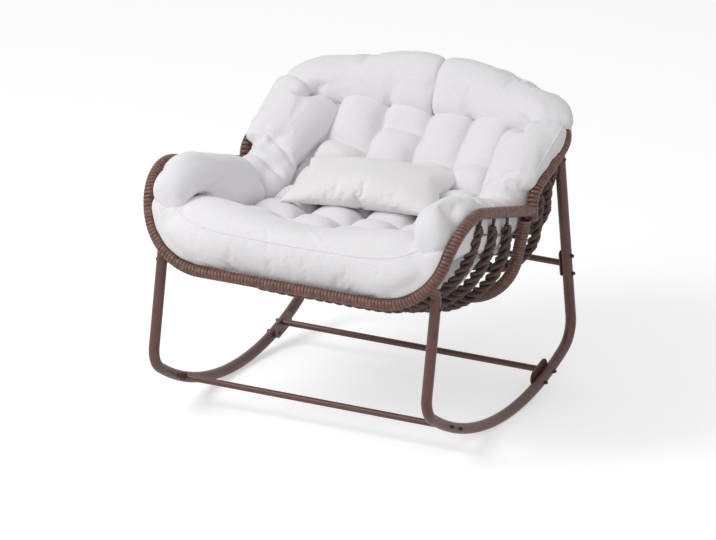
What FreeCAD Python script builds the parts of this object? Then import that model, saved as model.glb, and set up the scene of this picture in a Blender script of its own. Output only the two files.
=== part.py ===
"""Papasan rocking chair: steel rockers, a rattan-wrapped basket, and a tufted cushion with a pillow.

The origin is on the floor under the middle of the chair. +Z is up, the sitter looks along -Y,
and the chair is symmetric about X = 0, apart from the loose pillow. Lengths are in millimetres.
"""

import FreeCAD, Part
import math
import os

import Sketcher
from FreeCAD import Placement, Rotation, Vector

SIZES = {
    # side frames: one bent tube each
    "frame_half_spacing": 450,
    "frame_tube_radius": 16,
    "frame_tube_wall": 1.5,
    "runner_radius": 850,
    "runner_low_y": 12,
    "front_bend_radius": 72,
    "rear_bend_radius": 85,
    "front_leg_top_y": -427,
    "front_leg_top_z": 505,
    "front_leg_lean": 11.2,
    "rear_leg_top_y": 344,
    "rear_leg_top_z": 728,
    "rear_leg_lean": 9,
    # crossbars and the plates on their ends
    "bar_radius": 9.5,
    "bar_wall": 1.5,
    "front_bar_y": -331,
    "middle_bar_y": 262,
    "middle_bar_rise": 22,
    "rear_bar_z": 362,
    "plate_length": 84,
    "plate_width": 26,
    "plate_thickness": 4,
    "plate_bolt_pitch": 58,
    # fasteners
    "bolt_radius": 3,
    "bolt_head_radius": 6.5,
    "bolt_head_height": 4,
    "cap_nut_radius": 6,
    "cap_nut_height": 9,
    "leg_bolt_drop": 24,
    # spigots: the plug inside a leg, then the bend to the weld
    "spigot_depth": 62,
    "spigot_rise": 22,
    "spigot_bend": 25,
    # seat rail: end at the arch, shoulder over the front post, foot of the post in line with the side frame
    "rail_radius": 13,
    "rail_wall": 1.5,
    "rail_end_flare": 30,
    "rail_end_y": 115,
    "rail_end_z": 619,
    "shoulder_flare": 73,
    "shoulder_y": -394,
    "shoulder_z": 767,
    "shoulder_bend": 147,
    "rail_front_y": -486,
    "rail_front_z": 486,
    "rail_front_bend": 200,
    # back arch: foot, knee above the rail, side corner, top run
    "arch_foot_z": 588,
    "arch_knee_rise": 47,
    "arch_knee_bend": 55,
    "arch_corner_flare": 37,
    "arch_corner_y": 372,
    "arch_corner_z": 795,
    "arch_corner_bend": 150,
    "arch_top_inset": 210,
    "arch_top_y": 486,
    "arch_top_z": 830,
    "arch_top_bend": 480,
    "wrap_thickness": 4,
    "wrap_end_gap": 1,
    # ribs: a bare rod at the rail, then a fat woven rope
    "rib_rod_radius": 5,
    "rib_radius": 18.5,
    "rib_neck": 26,
    "rib_first_y": -262,
    "rib_pitch": 93,
    "rib_first_bottom": 390,
    "rib_bottom_step": 25,
    "rib_first_inset": 31,
    "rib_inset_step": -33,
    "rib_first_bend": 328,
    "rib_bend_step": -22,
    "hoop_top_y": 74,
    "hoop_bottom_y": 34,
    "hoop_bottom_z": 350,
    "hoop_inset": 10,
    "hoop_bend": 165,
    "back_rib_first_y": 162,
    "back_rib_pitch": 44,
    "back_rib_top_share": 0.42,
    "back_rib_low_y": 210,
    "back_rib_low_z": 383,
    "back_rib_low_inset": 20,
    "back_rib_run": 250,
    "back_rib_rise": 281,
    "back_rib_narrowing": 100,
    "back_rib_bend": 190,
    "back_rib_bend_limit": 0.8,
    "rod_clearance": 0.25,
    "link_radius": 2,
    "link_drop_upper": 70,
    "link_drop_lower": 135,
    # cushion
    "soft_clearance": 0.4,
    "lift_clearance": 6,
    "soft_fullness": 0.76,
    "seam_gap": 0.4,
    "roll_rear_y": -300,
    "roll_front_bulge": 12,
    "roll_top_z": 662,
    "roll_end_rise": 32,
    "roll_inset": 10,
    "roll_end_inset": 90,
    "roll_seam_share": 0.55,
    "roll_setback": 20,
    "roll_lip": 5,
    "roll_depth": 80,
    "roll_end_depth_rise": 42,
    "arm_half_width": 56,
    "arm_half_height": 100,
    "arm_tilt": 14,
    "arm_front_y": -455,
    "arm_rear_y": 48,
    "arm_front_inset": 20,
    "arm_rear_inset": 48,
    "arm_middle_z": 676,
    "arm_fall": 96,
    "wing_half_width": 90,
    "wing_half_thickness": 62,
    "wing_tilt": 10,
    "wing_foot_inset": 52,
    "wing_foot_z": 604,
    "wing_top_inset": 102,
    "wing_top_y": 365,
    "wing_top_z": 756,
    "head_half_height": 89,
    "head_half_thickness": 50,
    "head_centre_y": 405,
    "head_centre_z": 836,
    "head_lean": 17,
    "head_inset": 30,
    "head_forward": 64,
    "head_drop": 62,
    "pad_inset": 105,
    "pad_top_inset": 155,
    "pad_rear_y": 392,
    "pad_low_z": 578,
    "pad_rise": 190,
    "pad_border": 45,
    "pad_crown": 26,
    "pad_tuft_depth": 20,
    "pad_seam_share": 0.55,
    "pad_flat_share": 0.48,
    "pad_side_share": 0.19,
    "pad_side_limit": 0.6,
    "pad_knee_share": 0.29,
    "pad_floor_gap": 1.2,
    "pad_rib_gap": 9,
    "pad_columns": 4,
    # pillow
    "pillow_length": 480,
    "pillow_height": 290,
    "pillow_thickness": 96,
    "pillow_turn": 10,
    "pillow_slope": 9,
    "pillow_x": -15,
    "pillow_y": 52,
    "pillow_drop": 160,
}

doc = FreeCAD.newDocument("papasan_rocking_chair")
sheet = doc.addObject("Spreadsheet::Sheet", "Sizes")
for row, (alias, value) in enumerate(SIZES.items(), start=1):
    sheet.set(f"A{row}", str(value))
    sheet.setAlias(f"A{row}", alias)
doc.recompute()
nodes = []


def size(alias):
    return float(sheet.get(alias))


def mirrored(point):
    return Vector(-point.x, point.y, point.z)


def unit(vector):
    return Vector(vector).normalize()


def mix(start, end, share):
    return start + (end - start) * share


# Routes and tubes

def bent_path(points, radii):
    """A wire of straight runs through the points, with a tangent arc of each radius at the inner ones."""
    edges = []
    last = points[0]
    for before, corner, after, radius in zip(points, points[1:], points[2:], radii):
        back = unit(before - corner)
        ahead = unit(after - corner)
        half_turn = (math.pi - back.getAngle(ahead)) / 2
        reach = radius * math.tan(half_turn)
        enter = corner + back * reach
        leave = corner + ahead * reach
        inward = unit(back + ahead)
        middle = corner + inward * (radius / math.cos(half_turn) - radius)
        edges.append(Part.LineSegment(last, enter).toShape())
        edges.append(Part.Arc(enter, middle, leave).toShape())
        last = leave
    edges.append(Part.LineSegment(last, points[-1]).toShape())
    return Part.Wire(edges)


def swept(path, radius, bore=0.0):
    """A round bar, or a tube when it has a bore, along the path."""
    first = path.OrderedEdges[0]
    start = first.valueAt(first.FirstParameter)
    along = first.tangentAt(first.FirstParameter)
    rings = [Part.Wire(Part.makeCircle(radius, start, along))]
    if bore:
        rings.append(Part.Wire(Part.makeCircle(bore, start, along)))
    return path.makePipe(Part.makeFace(rings, "Part::FaceMakerBullseye"))


def trimmed(path, start_cut, end_cut):
    """The path without a length at each end of its straight first and last runs."""
    edges = path.OrderedEdges
    shares = ((0, start_cut), (-1, end_cut))
    for index, cut in shares:
        edge = edges[index]
        low, high = edge.FirstParameter, edge.LastParameter
        a, b = edge.valueAt(low), edge.valueAt(high)
        if index == 0:
            a = a + unit(b - a) * cut
        else:
            b = b + unit(a - b) * cut
        edges[index] = Part.LineSegment(a, b).toShape()
    return Part.Wire(edges)


def add_node(label, shape):
    """A node whose form is a three-dimensional bend or a padded loft."""
    node = doc.addObject("Part::Feature", label)
    node.Shape = shape
    node.Label = label
    nodes.append(node)
    return node


def largest_solid(shape):
    return max(shape.Solids, key=lambda solid: solid.Volume)


# Sketched bodies

def new_body(label):
    body = doc.addObject("PartDesign::Body", label)
    body.Label = label
    return body


def new_sketch(body, name, role, offset=Placement()):
    sketch = body.newObject("Sketcher::SketchObject", name)
    plane = [feature for feature in body.Origin.OriginFeatures if feature.Role == role][0]
    sketch.AttachmentSupport = [(plane, "")]
    sketch.MapMode = "FlatFace"
    sketch.AttachmentOffset = offset
    return sketch


def bind(sketch, name, constraint, expression):
    index = sketch.addConstraint(constraint)
    sketch.renameConstraint(index, name)
    sketch.setExpression(f"Constraints.{name}", expression)


def add_circle(sketch, name, x, y, radius, expressions):
    """A circle whose centre and radius are bound to the sheet."""
    index = sketch.addGeometry(Part.Circle(Vector(x, y, 0), Vector(0, 0, 1), radius), False)
    centre_x, centre_y, centre_radius = expressions
    bind(sketch, f"{name}_x", Sketcher.Constraint("DistanceX", -1, 1, index, 3, x), centre_x)
    bind(sketch, f"{name}_y", Sketcher.Constraint("DistanceY", -1, 1, index, 3, y), centre_y)
    bind(sketch, f"{name}_radius", Sketcher.Constraint("Radius", index, radius), centre_radius)


def rocker_outline():
    """Key points of one side frame in its Y-Z plane, from front leg top to rear leg top."""
    runner = size("runner_radius")
    centre = Vector(size("runner_low_y"), runner + size("frame_tube_radius"), 0)
    outline = []
    for end, sign in (("front", -1), ("rear", 1)):
        lean = math.radians(size(f"{end}_leg_lean"))
        bend = size(f"{end}_bend_radius")
        top = Vector(size(f"{end}_leg_top_y"), size(f"{end}_leg_top_z"), 0)
        down = Vector(sign * math.sin(lean), -math.cos(lean), 0)
        inward = Vector(-sign * math.cos(lean), -math.sin(lean), 0)
        start = top + inward * bend - centre
        half = start.dot(down)
        drop = -half + math.sqrt(half * half - start.dot(start) + (runner - bend) ** 2)
        bend_centre = top + inward * bend + down * drop
        foot = top + down * drop
        joint = centre + unit(bend_centre - centre) * runner
        outline.append((top, foot, bend_centre, joint))
    return centre, outline


def arc_between(centre, start, end):
    """The shorter arc about a centre, from start to end."""
    radius = (start - centre).Length
    middle = centre + unit(unit(start - centre) + unit(end - centre)) * radius
    return Part.Arc(start, middle, end)


def add_rocker(label, sign):
    """One side frame: front leg, front bend, long runner, rear bend and rear leg in a single tube."""
    body = new_body(label)
    centre, (front, rear) = rocker_outline()
    path = new_sketch(body, label + "_path", "YZ_Plane")
    path.setExpression("AttachmentOffset.Base.z", f"{sign} * Sizes.frame_half_spacing")
    low = Vector(centre.x, centre.y - size("runner_radius"), 0)
    path.addGeometry(
        [
            Part.LineSegment(front[0], front[1]),
            arc_between(front[2], front[1], front[3]),
            Part.Arc(front[3], low, rear[3]),
            arc_between(rear[2], rear[3], rear[1]),
            Part.LineSegment(rear[1], rear[0]),
        ],
        False,
    )
    ends = []
    for index in range(5):
        first = path.getPoint(index, 1)
        last = path.getPoint(index, 2)
        ends.append((first, last))
    for index in range(4):
        pairs = [(a, b) for a in (1, 2) for b in (1, 2)]
        a, b = min(pairs, key=lambda pair: (ends[index][pair[0] - 1] - ends[index + 1][pair[1] - 1]).Length)
        path.addConstraint(Sketcher.Constraint("Tangent", index, a, index + 1, b))
    for index, name in ((1, "front_bend_radius"), (2, "runner_radius"), (3, "rear_bend_radius")):
        bind(path, name, Sketcher.Constraint("Radius", index, size(name)), f"Sizes.{name}")
    bind(path, "low_y", Sketcher.Constraint("DistanceX", -1, 1, 2, 3, centre.x), "Sizes.runner_low_y")
    bind(
        path,
        "centre_z",
        Sketcher.Constraint("DistanceY", -1, 1, 2, 3, centre.y),
        "Sizes.runner_radius + Sizes.frame_tube_radius",
    )
    for end, index, point, top in (("front", 0, 1, front[0]), ("rear", 4, 2, rear[0])):
        y_name, z_name = f"{end}_leg_top_y", f"{end}_leg_top_z"
        bind(path, y_name, Sketcher.Constraint("DistanceX", -1, 1, index, point, top.x), f"Sizes.{y_name}")
        bind(path, z_name, Sketcher.Constraint("DistanceY", -1, 1, index, point, top.y), f"Sizes.{z_name}")
    for name, index, turn in (("front_leg_lean", 0, "-90 - "), ("rear_leg_lean", 4, "90 + ")):
        line = path.Geometry[index]
        angle = math.atan2(line.EndPoint.y - line.StartPoint.y, line.EndPoint.x - line.StartPoint.x)
        bind(path, name, Sketcher.Constraint("Angle", index, angle), f"({turn}Sizes.{name}) * 1 deg")
    lean = size("front_leg_lean")
    offset = Placement(Vector(0, 0, 0), Rotation(Vector(1, 0, 0), -lean))
    section = new_sketch(body, label + "_section", "XY_Plane", offset)
    section.setExpression("AttachmentOffset.Base.x", f"{sign} * Sizes.frame_half_spacing")
    section.setExpression("AttachmentOffset.Base.y", "Sizes.front_leg_top_y")
    section.setExpression("AttachmentOffset.Base.z", "Sizes.front_leg_top_z")
    section.setExpression("AttachmentOffset.Rotation.Angle", "-Sizes.front_leg_lean")
    outer = size("frame_tube_radius")
    inner = outer - size("frame_tube_wall")
    for name, radius, expression in (
        ("outer", outer, "Sizes.frame_tube_radius"),
        ("bore", inner, "Sizes.frame_tube_radius - Sizes.frame_tube_wall"),
    ):
        index = section.addGeometry(Part.Circle(Vector(), Vector(0, 0, 1), radius), False)
        section.addConstraint(Sketcher.Constraint("Coincident", index, 3, -1, 1))
        bind(section, name, Sketcher.Constraint("Radius", index, radius), expression)
    pipe = body.newObject("PartDesign::AdditivePipe", label + "_pipe")
    pipe.Profile = section
    pipe.Spine = (path, [f"Edge{number}" for number in range(1, 6)])
    nodes.append(body)
    return body


rockers = {"left": add_rocker("rocker_left", -1), "right": add_rocker("rocker_right", 1)}


# Crossbars: where each one crosses the side frames

def runner_height(y):
    """Height of the runner's axis at a distance along the chair."""
    radius = size("runner_radius")
    return radius + size("frame_tube_radius") - math.sqrt(radius**2 - (y - size("runner_low_y")) ** 2)


def leg_point(end, z):
    """The point of a leg's axis at a height, in the right side frame."""
    sign = -1 if end == "front" else 1
    lean = math.tan(math.radians(size(f"{end}_leg_lean")))
    y = size(f"{end}_leg_top_y") + sign * lean * (size(f"{end}_leg_top_z") - z)
    return Vector(size("frame_half_spacing"), y, z)


def runner_slope(y):
    return math.degrees(math.asin((y - size("runner_low_y")) / size("runner_radius")))


SLOPE = "(Sizes.{0}_bar_y - Sizes.runner_low_y) / Sizes.runner_radius"
HEIGHT = (
    "Sizes.runner_radius + Sizes.frame_tube_radius"
    " - sqrt(Sizes.runner_radius ^ 2 - (Sizes.{0}_bar_y - Sizes.runner_low_y) ^ 2)"
)
BAR_PLACES = {
    # expressions for where each bar's axis crosses the side view
    "front": ("Sizes.front_bar_y", HEIGHT.format("front")),
    "middle": (
        "Sizes.middle_bar_y - Sizes.middle_bar_rise * " + SLOPE.format("middle"),
        HEIGHT.format("middle") + " + Sizes.middle_bar_rise * sqrt(1 - (" + SLOPE.format("middle") + ") ^ 2)",
    ),
    "rear": (
        "Sizes.rear_leg_top_y + tan(Sizes.rear_leg_lean * 1 deg) * (Sizes.rear_leg_top_z - Sizes.rear_bar_z)",
        "Sizes.rear_bar_z",
    ),
}
BARS = {
    # how far each bar stands off the side tube's axis, where its plates are bolted, and their slope
    "front": (0, size("front_bar_y"), runner_height(size("front_bar_y")), runner_slope(size("front_bar_y"))),
    "middle": (
        size("middle_bar_rise"),
        size("middle_bar_y"),
        runner_height(size("middle_bar_y")),
        runner_slope(size("middle_bar_y")),
    ),
    "rear": (0, leg_point("rear", size("rear_bar_z")).y, size("rear_bar_z"), 90 + size("rear_leg_lean")),
}
plate_face = size("frame_half_spacing") - size("frame_tube_radius")
bar_end = plate_face - size("plate_thickness")


def add_crossbar(name):
    """A straight tube between the two end plates."""
    rise, y, z, slope = BARS[name]
    y -= rise * math.sin(math.radians(slope))
    z += rise * math.cos(math.radians(slope))
    body = new_body(f"{name}_crossbar")
    section = new_sketch(body, f"{name}_bar_section", "YZ_Plane")
    outer = size("bar_radius")
    for ring, radius, expression in (
        ("outer", outer, "Sizes.bar_radius"),
        ("bore", outer - size("bar_wall"), "Sizes.bar_radius - Sizes.bar_wall"),
    ):
        add_circle(section, ring, y, z, radius, (*BAR_PLACES[name], expression))
    pad = body.newObject("PartDesign::Pad", f"{name}_bar_pad")
    pad.Profile = section
    pad.SideType = "Symmetric"
    pad.setExpression(
        "Length",
        "2 * (Sizes.frame_half_spacing - Sizes.frame_tube_radius - Sizes.plate_thickness)",
    )
    nodes.append(body)


def plate_shape(name, sign):
    """A round-ended plate that a bar is welded to, with two bolt holes, flat against the side tube."""
    rise, y, z, slope = BARS[name]
    along = Vector(0, math.cos(math.radians(slope)), math.sin(math.radians(slope)))
    across = Vector(0, -along.z, along.y)
    half = (size("plate_length") - size("plate_width")) / 2
    radius = (size("plate_width") + rise) / 2
    middle = Vector(sign * bar_end, y, z) + across * (rise / 2)
    a, b = middle - along * half, middle + along * half
    outline = Part.Wire(
        [
            Part.LineSegment(a - across * radius, b - across * radius).toShape(),
            Part.Arc(b - across * radius, b + along * radius, b + across * radius).toShape(),
            Part.LineSegment(b + across * radius, a + across * radius).toShape(),
            Part.Arc(a + across * radius, a - along * radius, a - across * radius).toShape(),
        ]
    )
    plate = Part.Face(outline).extrude(Vector(sign * size("plate_thickness"), 0, 0))
    for centre in bolt_centres(name, sign):
        start = Vector(sign * (bar_end - 1), centre.y, centre.z)
        hole = size("bolt_radius") + size("rod_clearance")
        drill = Part.makeCylinder(hole, size("plate_thickness") + 2, start, Vector(sign, 0, 0))
        plate = plate.cut(drill)
    return plate


def bolt_centres(name, sign):
    """The two bolts of a plate, where they cross the side tube's axis."""
    _, y, z, slope = BARS[name]
    centres = []
    for side in (-1, 1):
        reach = side * size("plate_bolt_pitch") / 2
        if name == "rear":
            height = z + reach * math.cos(math.radians(size("rear_leg_lean")))
            point = leg_point("rear", height)
            centres.append(Vector(sign * point.x, point.y, point.z))
        else:
            across_y = y + reach * math.cos(math.radians(slope))
            centres.append(Vector(sign * size("frame_half_spacing"), across_y, runner_height(across_y)))
    return centres


def bolt_shape(centre, sign, head_x, nut_x):
    """A round-headed bolt along X through a side tube, its head at one side of the tube."""
    radius = size("bolt_radius")
    head = size("bolt_head_radius")
    height = size("bolt_head_height")
    length = abs(head_x - nut_x)
    crown = Vector(height, 0, 0)
    rim = Vector(0, head, 0)
    neck = Vector(0, radius, 0)
    tip = Vector(-length, radius, 0)
    end = Vector(-length, 0, 0)
    dome_centre = (height**2 - head**2) / (2 * height)
    dome_radius = height - dome_centre
    half_angle = math.atan2(head, -dome_centre) / 2
    brow = Vector(dome_centre + dome_radius * math.cos(half_angle), dome_radius * math.sin(half_angle), 0)
    outline = Part.Wire(
        [
            Part.LineSegment(end, tip).toShape(),
            Part.LineSegment(tip, neck).toShape(),
            Part.LineSegment(neck, rim).toShape(),
            Part.Arc(rim, brow, crown).toShape(),
            Part.LineSegment(crown, end).toShape(),
        ]
    )
    bolt = Part.Face(outline).revolve(Vector(), Vector(1, 0, 0), 360)
    outward = 1 if head_x > nut_x else -1
    turn = Rotation(Vector(0, 0, 1), 0 if outward * sign > 0 else 180)
    bolt.Placement = Placement(Vector(sign * head_x, centre.y, centre.z), turn)
    return bolt


def cap_nut_shape(centre, sign, seat_x, outward):
    """A domed nut that closes the end of a bolt, bored for its shank."""
    radius = size("cap_nut_radius")
    height = size("cap_nut_height")
    base = height - radius
    outline = Part.Wire(
        [
            Part.LineSegment(Vector(0, 0, 0), Vector(0, radius, 0)).toShape(),
            Part.LineSegment(Vector(0, radius, 0), Vector(base, radius, 0)).toShape(),
            Part.Arc(
                Vector(base, radius, 0),
                Vector(base + radius * math.sqrt(0.5), radius * math.sqrt(0.5), 0),
                Vector(height, 0, 0),
            ).toShape(),
            Part.LineSegment(Vector(height, 0, 0), Vector(0, 0, 0)).toShape(),
        ]
    )
    nut = Part.Face(outline).revolve(Vector(), Vector(1, 0, 0), 360)
    bore = Part.makeCylinder(size("bolt_radius"), base, Vector(), Vector(1, 0, 0))
    nut = nut.cut(bore)
    turn = Rotation(Vector(0, 0, 1), 0 if outward * sign > 0 else 180)
    nut.Placement = Placement(Vector(sign * seat_x, centre.y, centre.z), turn)
    return nut


tube_outer = size("frame_half_spacing") + size("frame_tube_radius")
nut_grip = size("cap_nut_height") - size("cap_nut_radius")
for bar in BARS:
    add_crossbar(bar)
    add_node(f"{bar}_bar_plates", Part.makeCompound([plate_shape(bar, -1), plate_shape(bar, 1)]))

bar_bolts = []
bar_nuts = []
for bar in BARS:
    for sign in (-1, 1):
        for centre in bolt_centres(bar, sign):
            bar_bolts.append(bolt_shape(centre, sign, bar_end, tube_outer + nut_grip))
            bar_nuts.append(cap_nut_shape(centre, sign, tube_outer, 1))

# Seat rail and back arch: the basket's two bent tubes

side_x = size("frame_half_spacing")
rail_end = Vector(side_x + size("rail_end_flare"), size("rail_end_y"), size("rail_end_z"))
shoulder = Vector(side_x + size("shoulder_flare"), size("shoulder_y"), size("shoulder_z"))
rail_front = Vector(side_x, size("rail_front_y"), size("rail_front_z"))
arch_foot = Vector(rail_end.x, rail_end.y, size("arch_foot_z"))
arch_knee = rail_end + Vector(0, 0, size("arch_knee_rise"))
arch_corner = Vector(side_x + size("arch_corner_flare"), size("arch_corner_y"), size("arch_corner_z"))
arch_top = Vector(side_x - size("arch_top_inset"), size("arch_top_y"), size("arch_top_z"))
tube_radius = size("rail_radius")
tube_bore = tube_radius - size("rail_wall")
wrap_radius = tube_radius + size("wrap_thickness")


def symmetric_path(points, radii):
    """A route given on the right side, carried over to the left."""
    return bent_path(points + [mirrored(point) for point in reversed(points)], radii + radii[::-1])


rail_path = symmetric_path([rail_end, shoulder, rail_front], [size("shoulder_bend"), size("rail_front_bend")])
arch_path = symmetric_path(
    [arch_foot, arch_knee, arch_corner, arch_top],
    [size("arch_knee_bend"), size("arch_corner_bend"), size("arch_top_bend")],
)
arch_bar = swept(arch_path, tube_radius)
rail_bar = largest_solid(swept(rail_path, tube_radius).cut(arch_bar))
rail_tube = swept(rail_path, tube_radius, tube_bore).cut(arch_bar)


# Spigots: short tubes welded under the basket that plug into the leg tops

def leg_bolt_centre(end):
    return leg_point(end, size(f"{end}_leg_top_z") - size("leg_bolt_drop"))


spigot_radius = size("frame_tube_radius") - size("frame_tube_wall") - size("rod_clearance")


def spigot_path(end, carrier):
    """From inside a leg, up its axis and over to the nearest point of the tube that it is welded to."""
    top = size(f"{end}_leg_top_z")
    low = leg_point(end, top - size("spigot_depth"))
    turn = leg_point(end, top + size("spigot_rise"))
    weld = carrier.distToShape(Part.Vertex(turn))[1][0][0]
    return bent_path([low, turn, weld], [size("spigot_bend")])


spigot_paths = {"front": spigot_path("front", rail_path), "rear": spigot_path("rear", arch_path)}
spigot_hosts = {"front": rail_bar, "rear": arch_bar}


def x_drill(centre):
    """A bolt hole along X through a side tube."""
    reach = 2 * size("frame_tube_radius")
    start = centre - Vector(reach, 0, 0)
    return Part.makeCylinder(size("bolt_radius") + size("rod_clearance"), 2 * reach, start, Vector(1, 0, 0))


def flipped(shape):
    return shape.mirror(Vector(), Vector(1, 0, 0))


spigots = []
for end in ("front", "rear"):
    tube = swept(spigot_paths[end], spigot_radius, spigot_radius - size("frame_tube_wall"))
    tube = tube.cut(spigot_hosts[end]).cut(x_drill(leg_bolt_centre(end)))
    spigot = largest_solid(tube)
    spigots.append(swept(spigot_paths[end], spigot_radius + size("rod_clearance")))
    add_node(f"{end}_spigot_right", spigot)
    add_node(f"{end}_spigot_left", flipped(spigot))

leg_bolts = []
leg_nuts = []
tube_inner = size("frame_half_spacing") - size("frame_tube_radius")
for sign in (-1, 1):
    for end in ("front", "rear"):
        centre = leg_bolt_centre(end)
        leg_bolts.append(bolt_shape(centre, sign, tube_outer, tube_inner - nut_grip))
        leg_nuts.append(cap_nut_shape(centre, sign, tube_inner, -1))
add_node("crossbar_bolts", Part.makeCompound(bar_bolts))
add_node("crossbar_cap_nuts", Part.makeCompound(bar_nuts))
add_node("leg_bolts", Part.makeCompound(leg_bolts))
add_node("leg_cap_nuts", Part.makeCompound(leg_nuts))

for side, sign in (("left", -1), ("right", 1)):
    centres = [centre for bar in BARS for centre in bolt_centres(bar, sign)]
    for end in ("front", "rear"):
        point = leg_bolt_centre(end)
        centres.append(Vector(sign * point.x, point.y, point.z))
    drills = doc.addObject("Part::Feature", f"drills_{side}")
    drills.Shape = Part.makeCompound([x_drill(centre) for centre in centres])
    drilled = doc.addObject("Part::Cut", f"rocker_{side}_drilled")
    drilled.Base = rockers[side]
    drilled.Tool = drills
    rockers[side].Label = f"tube_{side}"
    drilled.Label = f"rocker_{side}"
    nodes.remove(rockers[side])
    nodes.append(drilled)


# Ribs: bare rods at the rail, each in a fat woven rope

def on_rail(y):
    """The point of the arm rail's axis at a distance along the chair."""
    return mix(rail_end, shoulder, (rail_end.y - y) / (rail_end.y - shoulder.y))


def on_arch_side(y):
    """The point of the arch's straight side at a distance along the chair."""
    return mix(arch_knee, arch_corner, (y - arch_knee.y) / (arch_corner.y - arch_knee.y))


ribs = {}
for number in range(3):
    y = size("rib_first_y") + number * size("rib_pitch")
    low = Vector(
        side_x - size("rib_first_inset") - number * size("rib_inset_step"),
        y,
        size("rib_first_bottom") - number * size("rib_bottom_step"),
    )
    bend = size("rib_first_bend") + number * size("rib_bend_step")
    ribs[f"seat_rib_{number + 1}"] = symmetric_path([on_rail(y), low], [bend])
hoop_low = Vector(side_x - size("hoop_inset"), size("hoop_bottom_y"), size("hoop_bottom_z"))
ribs["rear_hoop"] = symmetric_path([on_rail(size("hoop_top_y")), hoop_low], [size("hoop_bend")])
BACK_RIB_CURVE = (
    # shares of the narrowing, run and rise at the foot of each back rib's side
    (0.0, 0.0, 0.0),
    (0.18, 0.43, 0.26),
    (0.58, 0.74, 0.59),
    (1.0, 1.0, 1.0),
)
back_rib_lows = []
for number, (narrowing, run, rise) in enumerate(BACK_RIB_CURVE):
    low = Vector(
        side_x - size("back_rib_low_inset") - narrowing * size("back_rib_narrowing"),
        size("back_rib_low_y") + run * size("back_rib_run"),
        size("back_rib_low_z") + rise * size("back_rib_rise"),
    )
    end = on_arch_side(size("back_rib_first_y") + number * size("back_rib_pitch"))
    if number == len(BACK_RIB_CURVE) - 1:
        end = mix(arch_corner, arch_top, size("back_rib_top_share"))
    bend = min(size("back_rib_bend"), size("back_rib_bend_limit") * (end - low).Length)
    ribs[f"back_rib_{number + 1}"] = symmetric_path([end, low], [bend])
    back_rib_lows.append(low)

rod_radius = size("rib_rod_radius")
hosts = Part.makeCompound([rail_bar, arch_bar])
rods = {name: swept(path, rod_radius) for name, path in ribs.items()}
wraps = {
    name: swept(trimmed(path, size("rib_neck"), size("rib_neck")), size("rib_radius"), rod_radius)
    for name, path in ribs.items()
}
for name in ribs:
    add_node(f"{name}_rod", largest_solid(rods[name].cut(hosts)))
    add_node(f"{name}_wrap", wraps[name])

# Rail and arch wraps are pierced where rods, spigots and the rail's ends pass through
piercing = [swept(path, rod_radius + size("rod_clearance")) for path in ribs.values()]
piercing += spigots + [flipped(spigot) for spigot in spigots]
piercing = Part.makeCompound(piercing)
add_node("seat_rail_tube", largest_solid(rail_tube))
arch_room = swept(arch_path, wrap_radius + size("wrap_end_gap"))
rail_wrap = largest_solid(swept(rail_path, wrap_radius, tube_radius).cut(arch_room))
add_node("seat_rail_wrap", largest_solid(rail_wrap.cut(piercing)))
add_node("back_arch_tube", swept(arch_path, tube_radius, tube_bore))
arch_wrap = swept(arch_path, wrap_radius, tube_radius)
rail_entry = swept(rail_path, tube_radius + size("rod_clearance"))
add_node("back_arch_wrap", largest_solid(arch_wrap.cut(piercing).cut(rail_entry)))


def point_along(path, length):
    """The point of a path at a length from its start."""
    for edge in path.OrderedEdges:
        if length <= edge.Length:
            return edge.valueAt(edge.getParameterByLength(length))
        length -= edge.Length
    return path.OrderedVertexes[-1].Point


# Link strands: thin cane ties from rib to rib on both sides
links = []
neighbours = ["seat_rib_1", "seat_rib_2", "seat_rib_3", "rear_hoop"]
for first, second in zip(neighbours, neighbours[1:]):
    for drop in (size("link_drop_upper"), size("link_drop_lower")):
        start = point_along(ribs[first], drop)
        end = point_along(ribs[second], drop)
        strand = Part.makeCylinder(size("link_radius"), (end - start).Length, start, end - start)
        strand = largest_solid(strand.cut(wraps[first]).cut(wraps[second]))
        links += [strand, flipped(strand)]
add_node("rib_link_strands", Part.makeCompound(links))


# Cushion chambers

def oval(centre, across, up, half_width, half_height):
    """A full oval of four arcs in the plane of two directions."""
    across = unit(across)
    up = unit(up)
    full = size("soft_fullness")

    def at(x, y):
        return centre + across * (x * half_width) + up * (y * half_height)

    corners = [(1, 0), (0, 1), (-1, 0), (0, -1)]
    edges = []
    for (x0, y0), (x1, y1) in zip(corners, corners[1:] + corners[:1]):
        middle = at((x0 + x1) * full, (y0 + y1) * full)
        edges.append(Part.Arc(at(x0, y0), middle, at(x1, y1)).toShape())
    return Part.Wire(edges)


def lofted(sections):
    return Part.makeLoft(sections, True, False)


ARM_STATIONS = (
    # shares of the length, of the narrowing and of the fall, then of the full section
    (0.0, 0.0, 0.08, 0.4),
    (0.03, 0.07, 0.04, 0.74),
    (0.1, 0.36, 0.0, 0.95),
    (0.24, 0.71, 0.06, 1.0),
    (0.55, 0.86, 0.46, 1.0),
    (0.81, 0.93, 0.79, 0.96),
    (1.0, 1.0, 1.0, 0.85),
)


def arm_shape():
    """Padded arm inside the rail: deep, leaning out with the ribs, falling to the rear, full at the front."""
    tilt = math.radians(size("arm_tilt"))
    up = Vector(math.sin(tilt), 0, math.cos(tilt))
    across = Vector(math.cos(tilt), 0, -math.sin(tilt))
    sections = []
    for share, narrowing, fall, full in ARM_STATIONS:
        inset = size("arm_front_inset") + narrowing * (size("arm_rear_inset") - size("arm_front_inset"))
        y = size("arm_front_y") + share * (size("arm_rear_y") - size("arm_front_y"))
        centre = Vector(side_x - inset, y, size("arm_middle_z") - fall * size("arm_fall"))
        half_width = full * size("arm_half_width")
        half_height = full * size("arm_half_height")
        sections.append(oval(centre, across, up, half_width, half_height))
    return lofted(sections)


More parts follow.
